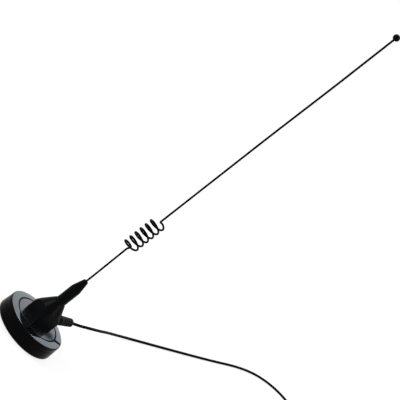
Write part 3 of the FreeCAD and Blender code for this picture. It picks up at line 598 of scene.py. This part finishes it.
class ANTENNA_OT_base(bpy.types.Operator):
    """Cap with its crowned band and groove, moulded side wall, and the pad underneath"""
    bl_idname = "antenna.base"
    bl_label = "Base"

    def execute(self, context):
        own = settings().base
        self.cap(own)
        self.wall(own)
        self.pad(own)
        return {"FINISHED"}

    def cap(self, own):
        """Drawn cap: flat middle, groove, crowned band, rounded rim and skirt."""
        radius, height = own.radius / MM, own.height / MM
        rim = height - own.crown / MM
        seam = own.seam / MM + HALF_SEAM
        ring = own.groove / MM
        mouth, bed, deep = 0.65, 0.4, 0.55
        skirt, sheet, inside = wall_radius(own, seam), 1.1, height - 2.4
        outline = [
            (0, height),
            (ring - mouth, height, 0.12),
            (ring - bed, height - deep, 0.1),
            (ring + bed, height - deep, 0.1),
            (ring + mouth, height, 0.12),
        ]
        rim_land, stations = 0.6, 12
        span = radius - rim_land - ring - mouth
        for k in range(1, stations):
            share = k / stations
            outline.append((ring + mouth + span * share, height - own.crown / MM * share ** 1.5))
        outline += [
            (radius - 0.02, rim - 0.02, 0.7),
            (skirt, seam, 0.15),
            (skirt - sheet, seam, 0.1),
            (radius - sheet, inside),
            (0, inside),
        ]
        cap = turned_piece("cap", eased(outline), steps=160)
        fitted(cap, "base", "dark_plating", "base_cover")
        # Painted shade: the cap's skirt, rim edge and groove are given the black wall finish.
        self.paint_shade_on_cap(cap, own)

    @staticmethod
    def wall(own):
        """Moulded side wall below the seam, with the lip that sits inside the cap's skirt."""
        radius, height = own.radius / MM, own.height / MM
        lift, seam = own.lift / MM, own.seam / MM - HALF_SEAM
        inner, lip, lip_top = radius - 2.7, radius - 1.25, height - 2.6
        wall = turned_piece("side_wall", eased([
            (inner, lift, 0.2),
            (wall_radius(own, lift), lift, 1.4),
            (wall_radius(own, seam), seam, 0.15),
            (lip, seam, 0.1),
            (lip, lip_top),
            (inner, lip_top),
        ], steps=8), steps=160)
        fitted(wall, "base", "wall_plastic", "base_ring")

    @staticmethod
    def pad(own):
        """Thin flat pad that the magnet grips through."""
        radius, thickness = own.pad_radius / MM, own.pad_thickness / MM
        pad = turned_piece("pad", eased([
            (0, 0), (radius, 0, 0.25), (radius, thickness, 0.1), (0, thickness)]), steps=120)
        fitted(pad, "base", "black_rubber", "bottom_pad")

    @staticmethod
    def paint_shade_on_cap(cap, own):
        """Painted shade: the skirt, the rim's edge and the groove get the black wall finish in place of the
        cap's plating, standing in for the shade and dark reflections there.
        """
        cap.data.materials.append(finish("wall_plastic"))
        half_groove, below, upright = 0.76 * MM, own.height - 0.03 * MM, 0.985
        for face in cap.data.polygons:
            in_groove = abs(face.center.xy.length - own.groove) < half_groove and face.center.z < below
            if in_groove or face.normal.z < upright:
                face.material_index = 1


class ANTENNA_OT_boot(bpy.types.Operator):
    """Ribbed rubber boot that leads the cable out of the housing's spout"""
    bl_idname = "antenna.boot"
    bl_label = "Boot"

    def execute(self, context):
        own = settings().exit
        bore, stem, collar = settings().cable.diameter / 2 / MM + SLIP, 2.95, 0.7
        start, spout, length = own.boot_start / MM, own.spout_end / MM, own.boot_length / MM
        widest, end = own.boot_radius / MM, own.boot_end_radius / MM
        pitch, gap, depth = own.rib_pitch / MM, own.rib_gap / MM, own.rib_depth / MM
        outline = [(bore, start), (stem, start, 0.2), (stem, spout)]
        for k in range(own.ribs - 1):
            outer = widest - (widest - end) * k / (own.ribs - 1)
            foot = spout if k == 0 else spout + collar + k * pitch
            crest = spout + collar + (k + 1) * pitch - gap
            outline += [
                (outer, foot, 0.28),
                (outer, crest, 0.28),
                (outer - depth, crest, 0.22),
                (outer - depth, crest + gap, 0.22),
            ]
        outline += [
            (end, spout + collar + (own.ribs - 1) * pitch, 0.28),
            (end, spout + length, 1.5),
            (bore + 0.1, spout + length, 0.15),
            (bore, spout + length - 0.4),
        ]
        boot = turned_piece("boot", eased(outline, steps=5), steps=64)
        to_exit(boot)
        fitted(boot, "base", "black_rubber", "strain_relief")
        return {"FINISHED"}


class ANTENNA_OT_whip_foot(bpy.types.Operator):
    """Moulded foot of the whip, straight and then tapered, and the ball on the whip's end"""
    bl_idname = "antenna.whip_foot"
    bl_label = "Whip foot and ball"

    def execute(self, context):
        own = settings().whip
        low, turn, top = own.foot / MM, own.taper / MM, own.top / MM
        wide, thin, wire = own.foot_radius / MM, own.top_radius / MM, own.wire / MM + SLIP
        socket, socket_depth = 3.2, 12.0
        foot = turned_piece("whip_foot", eased([
            (socket, low, 0.1),
            (wide, low, 0.35),
            (wide, turn, 6.0),
            (thin, top, 0.45),
            (wire, top, 0.1),
            (wire, top - 1.5),
            (socket, low + socket_depth),
        ], steps=10), steps=72)
        fitted(foot, "whip_body", "black_plastic", "ferrule_sleeve")
        middle, radius = own.ball_height / MM, own.ball / MM
        outline = [(0, middle + radius)]
        stations = 24
        for k in range(1, stations - 2):
            angle = math.pi * k / stations
            outline.append((radius * math.sin(angle), middle + radius * math.cos(angle)))
        outline += [
            (wire + 0.25, middle - radius + 0.12, 0.12),
            (wire, middle - radius + 0.3),
            (wire, middle),
            (0, middle),
        ]
        ball = turned_piece("ball", eased(outline), steps=48)
        fitted(ball, "whip_body", "black_plastic", "ball_tip")
        return {"FINISHED"}


def gentle(share):
    """A share from 0 to 1 that starts and ends softly."""
    share = min(max(share, 0.0), 1.0)
    return share * share * (3 - 2 * share)


def bend(start, out, back, end):
    """Inner points of a bend between two ends, drawn by its two handles."""
    steps, points = 14, []
    for k in range(1, steps):
        t = k / steps
        left = 1 - t
        points.append(start * left**3 + out * 3 * t * left**2 + back * 3 * t * t * left + end * t**3)
    return points


def wire_points(own):
    """Middle line of the whip: straight, out to the coil, its turns, in again, and straight to the ball."""
    around = 2 * math.pi * own.coil_radius
    up = Vector((0, 0, 1))

    def turn(k):
        angle = own.coil_angle + 2 * math.pi * k
        place = Vector((own.coil_radius * math.cos(angle), own.coil_radius * math.sin(angle),
                        own.coil_start + own.coil_pitch * k))
        way = Vector((-around * math.sin(angle), around * math.cos(angle), own.coil_pitch)).normalized()
        return place, way

    low, low_way = turn(0)
    high, high_way = turn(own.coil_turns)
    foot = Vector((0, 0, own.coil_start - own.lead))
    head = Vector((0, 0, high.z + own.lead))
    sweep, rise = 4.0 * MM, 1.9 * MM
    steps_below, steps_round, steps_above = 12, 34, 40
    total = round(own.coil_turns * steps_round)
    points = [Vector((0, 0, own.wire_foot + (foot.z - own.wire_foot) * k / steps_below))
              for k in range(steps_below + 1)]
    points += bend(foot, foot + up * rise, low - low_way * sweep, low)
    points += [turn(own.coil_turns * k / total)[0] for k in range(total + 1)]
    points += bend(high, high + high_way * sweep, head - up * rise, head)
    points += [head + up * (own.ball_height - head.z) * k / steps_above for k in range(steps_above + 1)]
    side = Vector((math.cos(own.lean_heading), math.sin(own.lean_heading), 0))
    leans_from, leans_fully, straightens_from, straightens_over = own.top, 0.125, 0.238, 0.09
    for point in points:
        rising = gentle((point.z - leans_from) / (leans_fully - leans_from))
        falling = 1 - gentle((point.z - straightens_from) / straightens_over)
        point += side * own.lean * rising * falling
    return points


class ANTENNA_OT_whip_wire(bpy.types.Operator):
    """The whip's one wire, with its open coil of six turns"""
    bl_idname = "antenna.whip_wire"
    bl_label = "Whip wire"

    def execute(self, context):
        own = settings().whip
        round_bar("whip_wire", "POLY", wire_points(own), own.wire)
        bpy.ops.object.convert(target="MESH")
        wire = context.object
        smooth(wire, 50.0)
        fitted(wire, "whip_body", "black_wire", "whip")
        return {"FINISHED"}


def rounded_band(name, own):
    """Flat band bent round the tied bundle, made at the coil's middle."""
    deselect()
    half = own.across / 2 + own.thickness / 2
    rise = own.tall + own.thickness
    foot = own.thickness / 2
    corner, edge = 1.6 * MM, 0.15 * MM
    bpy.ops.mesh.primitive_plane_add(size=1.0, location=(0, 0, 0))
    band = bpy.context.object
    band.name = name
    bpy.ops.object.mode_set(mode="EDIT")
    bpy.ops.mesh.delete(type="ONLY_FACE")
    bpy.ops.mesh.select_mode(type="VERT")
    bpy.ops.mesh.select_all(action="SELECT")
    bpy.ops.transform.resize(value=(2 * half, rise, 1))
    bpy.ops.transform.rotate(
        value=math.pi / 2, orient_axis="X", orient_type="GLOBAL", center_override=(0, 0, 0))
    bpy.ops.transform.translate(value=(own.reach, 0, foot + rise / 2))
    bpy.ops.mesh.bevel(offset=corner, offset_type="OFFSET", segments=6, affect="VERTICES")
    bpy.ops.mesh.select_all(action="SELECT")
    bpy.ops.transform.translate(value=(0, -own.width / 2, 0))
    bpy.ops.mesh.extrude_edges_move(TRANSFORM_OT_translate={"value": (0, own.width, 0)})
    bpy.ops.mesh.select_all(action="SELECT")
    bpy.ops.mesh.normals_make_consistent(inside=False)
    bpy.ops.object.mode_set(mode="OBJECT")
    wall = band.modifiers.new("wall", "SOLIDIFY")
    wall.thickness = own.thickness
    wall.offset = 0.0
    edges = band.modifiers.new("edges", "BEVEL")
    edges.width = edge
    edges.segments = 2
    edges.limit_method = "ANGLE"
    bpy.ops.object.modifier_apply(modifier="wall")
    bpy.ops.object.modifier_apply(modifier="edges")
    return band


def tie_head(own):
    """Head of a tie: a rounded block with the slot that the tail comes out of, and the cut tail."""
    deselect()
    head_edge, slot_wall, slot_depth = 0.35 * MM, 0.35 * MM, 1.2 * MM
    tail_thickness, tail_edge, narrower = 0.8 * MM, 0.12 * MM, 0.5 * MM
    outer = own.reach + own.across / 2 + own.thickness
    place = (outer + own.head[0] / 2, 0, own.head_height)
    bpy.ops.mesh.primitive_cube_add(size=1.0, location=place, scale=own.head)
    head = bpy.context.object
    bpy.ops.object.transform_apply(location=True, rotation=True, scale=True)
    bpy.ops.object.mode_set(mode="EDIT")
    bpy.ops.mesh.bevel(offset=head_edge, offset_type="OFFSET", segments=3, affect="EDGES")
    bpy.ops.mesh.select_all(action="DESELECT")
    bpy.ops.object.mode_set(mode="OBJECT")
    crest = own.head_height + own.head[2] / 2 - 0.01 * MM
    for face in head.data.polygons:
        face.select = face.center.z > crest
    bpy.ops.object.mode_set(mode="EDIT")
    bpy.ops.mesh.select_mode(type="FACE")
    bpy.ops.mesh.inset(thickness=slot_wall)
    bpy.ops.mesh.extrude_region_move(TRANSFORM_OT_translate={"value": (0, 0, -slot_depth)})
    bpy.ops.object.mode_set(mode="OBJECT")
    deselect()
    bpy.ops.mesh.primitive_cube_add(
        size=1.0, location=(place[0], 0, own.head_height + slot_depth),
        scale=(tail_thickness, own.width - narrower, own.head[2]))
    tail = bpy.context.object
    bpy.ops.object.transform_apply(location=True, rotation=True, scale=True)
    bpy.ops.object.mode_set(mode="EDIT")
    bpy.ops.mesh.bevel(offset=tail_edge, offset_type="OFFSET", segments=2, affect="EDGES")
    bpy.ops.object.mode_set(mode="OBJECT")
    return head, tail


class ANTENNA_OT_ties(bpy.types.Operator):
    """Two ties round the put-away coil, each with its head and its cut tail"""
    bl_idname = "antenna.ties"
    bl_label = "Ties"

    def execute(self, context):
        own = settings().tie
        centre = settings().cable.coil_centre
        ties = []
        for angle in (20.0, 200.0):
            band = rounded_band("tie_band", own)
            pick(band, *tie_head(own))
            bpy.ops.object.join()
            band.rotation_euler = (0, 0, math.radians(angle))
            band.location = (centre[0], centre[1], 0)
            settle(band)
            ties.append(band)
        pick(*ties)
        bpy.ops.object.join()
        ties[0].name = "ties"
        smooth(ties[0])
        fitted(ties[0], "base", "nylon", "cable_ties")
        return {"FINISHED"}


class ANTENNA_OT_plug(bpy.types.Operator):
    """Threaded coaxial plug: moulded boot with grips, crimped sleeve, and knurled nut with its thread"""
    bl_idname = "antenna.plug"
    bl_label = "Plug"

    def execute(self, context):
        self.grip()
        self.sleeve()
        self.nut(settings().plug)
        return {"FINISHED"}

    @staticmethod
    def grip():
        """Moulded boot that widens from its tail, with three grip grooves."""
        bore, tail, widening = 1.25, 1.95, 1.15
        first, pitch, wide_from = 2.6, 1.5, 6
        body, socket, full, end = 3.1, 2.45, 7.4, 10
        outline = [(bore, 0, 0.1), (tail, 0, 0.4)]
        for k in range(3):
            at = first + k * pitch
            wide = tail + widening * at / wide_from
            outline += [
                (wide, at, 0.2),
                (wide - 0.35, at + 0.2, 0.1),
                (wide - 0.3, at + 0.6, 0.1),
                (wide + 0.15, at + 0.8, 0.2),
            ]
        outline += [(body, full, 0.4), (body, end, 0.45), (socket, end), (socket, 6.0), (bore, 6.0)]
        boot = turned_piece("plug_grip", eased(outline), steps=48)
        to_plug(boot)
        fitted(boot, "base", "black_rubber", "plug_boot")

    @staticmethod
    def sleeve():
        """Sleeve crimped to six flats between its round ends."""
        bore, wide, flat, start, end = 1.85, 2.4, 2.12, 6.0, 15.0
        outline = [(bore, start), (wide, start, 0.1)]
        outline += [(wide, along) for along in (10.6, 11.0, 13.9, 14.3, end)]
        sleeve = turned_piece("crimped_sleeve", eased(outline + [(bore, end)]), steps=72)
        for vertex in sleeve.data.vertices:
            across, along = vertex.co.xy.length / MM, vertex.co.z / MM
            if across > wide - 0.1 and 10.9 < along < 14.0:
                turn = math.atan2(vertex.co.y, vertex.co.x) % (math.pi / 3) - math.pi / 6
                vertex.co.xy *= min(wide, flat / math.cos(turn)) / across
        smooth(sleeve, 20.0)
        to_plug(sleeve)
        fitted(sleeve, "base", "nickel", "crimp_sleeve")

    @staticmethod
    def nut(own):
        """Nut with straight knurls between two plain collars, and a thread inside."""
        wide, start, end = own.nut_radius / MM, own.nut_start / MM, own.nut_end / MM
        bore, thread = own.barrel / MM + SLIP, own.thread / MM
        collar, run_out, shoulder = 1.2, 1.5, start + 3.0
        outline = [
            (bore, start, 0.1),
            (wide, start, 0.5),
            (wide, start + collar),
            (wide, start + run_out),
            (wide, end - run_out),
            (wide, end - collar),
            (wide, end, 0.5),
            (thread + 0.5, end, 0.1),
            (thread, end - 0.5),
        ]
        turns, pitch, root = 9, 0.9, thread + 0.3
        for k in range(turns):
            at = end - 0.7 - k * pitch
            outline += [(thread, at), (root, at - 0.35), (root, at - 0.5), (thread, at - 0.85)]
        outline += [(thread, shoulder), (bore, shoulder, 0.1)]
        nut = turned_piece("knurled_nut", eased(outline), steps=own.knurls * 6)
        knurl_from, knurl_to, valley = start + 1.4, end - 1.4, wide - 0.4
        for vertex in nut.data.vertices:
            across, along = vertex.co.xy.length / MM, vertex.co.z / MM
            if across > wide - 0.01 and knurl_from < along < knurl_to:
                share = math.atan2(vertex.co.y, vertex.co.x) / (2 * math.pi) * own.knurls % 1.0
                if min(share, 1 - share) < 0.25:
                    vertex.co.xy *= valley / across
        smooth(nut, 25.0)
        to_plug(nut)
        fitted(nut, "plug_nut", "nickel", "coupling_nut")


def cable_points(own):
    """Route to the coil, its turns from layer to layer, and the route to the plug."""
    radius = own.diameter / 2
    inner = own.coil_outer - own.turns * own.diameter
    steps = 16
    rise = 1 / (own.layers - 1)
    swell = 1 / math.cos(math.pi / steps)
    points = [Vector(point) for point in CABLE_ROUTE]
    total = own.layers * own.turns + 1
    for k in range(total * steps + 1):
        turn = k / steps
        layer = min(int(turn / (own.turns + rise)), own.layers - 1)
        within = turn - layer * (own.turns + rise)
        across = min(within / own.turns, 1.0)
        climb = max(within - own.turns, 0.0) / rise
        if layer % 2:
            across = 1 - across
        reach = (own.coil_outer + (inner - own.coil_outer) * across) * swell
        angle = own.coil_angle + 2 * math.pi * turn
        height = radius + own.diameter * (layer + climb)
        points.append(own.coil_centre + Vector((reach * math.cos(angle), reach * math.sin(angle), height)))
    return points + [Vector(point) for point in LEAD_ROUTE]


class ANTENNA_OT_cable(bpy.types.Operator):
    """Thin coaxial cable: along the floor, wound into its coil, and into the plug"""
    bl_idname = "antenna.cable"
    bl_label = "Cable"

    def execute(self, context):
        own = settings().cable
        cable = round_bar("cable", "NURBS", cable_points(own), own.diameter / 2)
        spline = cable.data.splines[0]
        spline.order_u = 3
        spline.use_endpoint_u = True
        spline.resolution_u = 8
        cable.data.resolution_u = 8
        fitted(cable, "base", "cable_jacket", "coax_cable", "coax_coil", "coax_lead")
        return {"FINISHED"}


class ANTENNA_OT_finish_nodes(bpy.types.Operator):
    """Materials on the pieces that stay as the frame has them"""
    bl_idname = "antenna.finish_nodes"
    bl_label = "Finishes"

    def execute(self, context):
        for part in frame["record"]["subparts"]:
            node = frame["nodes"][part["node"]]
            if not node.hide_render:
                put_on(node, finish(part["material_slot"]))
        return {"FINISHED"}


class AntennaSettings(bpy.types.PropertyGroup):
    studio: PointerProperty(type=StudioSettings)
    finish: PointerProperty(type=FinishSettings)
    base: PointerProperty(type=BaseSettings)
    exit: PointerProperty(type=ExitSettings)
    whip: PointerProperty(type=WhipSettings)
    cable: PointerProperty(type=CableSettings)
    tie: PointerProperty(type=TieSettings)
    plug: PointerProperty(type=PlugSettings)


class ANTENNA_PT_panel(bpy.types.Panel):
    """The antenna's pieces, in the order they are built"""
    bl_label = "Magnetic mount antenna"
    bl_idname = "ANTENNA_PT_panel"
    bl_space_type = "VIEW_3D"
    bl_region_type = "UI"
    bl_category = "Antenna"

    def draw(self, context):
        for operator in OPERATORS:
            self.layout.operator(operator.bl_idname)


OPERATORS = (
    ANTENNA_OT_studio,
    ANTENNA_OT_finishes,
    ANTENNA_OT_base,
    ANTENNA_OT_boot,
    ANTENNA_OT_whip_foot,
    ANTENNA_OT_whip_wire,
    ANTENNA_OT_ties,
    ANTENNA_OT_plug,
    ANTENNA_OT_cable,
    ANTENNA_OT_finish_nodes,
)
CLASSES = (
    StudioSettings, FinishSettings, BaseSettings, ExitSettings, WhipSettings, CableSettings, TieSettings,
    PlugSettings, AntennaSettings, *OPERATORS, ANTENNA_PT_panel,
)


def register():
    for cls in CLASSES:
        bpy.utils.register_class(cls)
    bpy.types.Scene.antenna = PointerProperty(type=AntennaSettings)


def unregister():
    del bpy.types.Scene.antenna
    for cls in reversed(CLASSES):
        bpy.utils.unregister_class(cls)


def main():
    register()
    bpy.ops.antenna.studio()
    bpy.ops.antenna.finishes()
    bpy.ops.antenna.base()
    bpy.ops.antenna.boot()
    bpy.ops.antenna.whip_foot()
    bpy.ops.antenna.whip_wire()
    bpy.ops.antenna.ties()
    bpy.ops.antenna.plug()
    bpy.ops.antenna.cable()
    bpy.ops.antenna.finish_nodes()


if __name__ == "__main__":
    main()
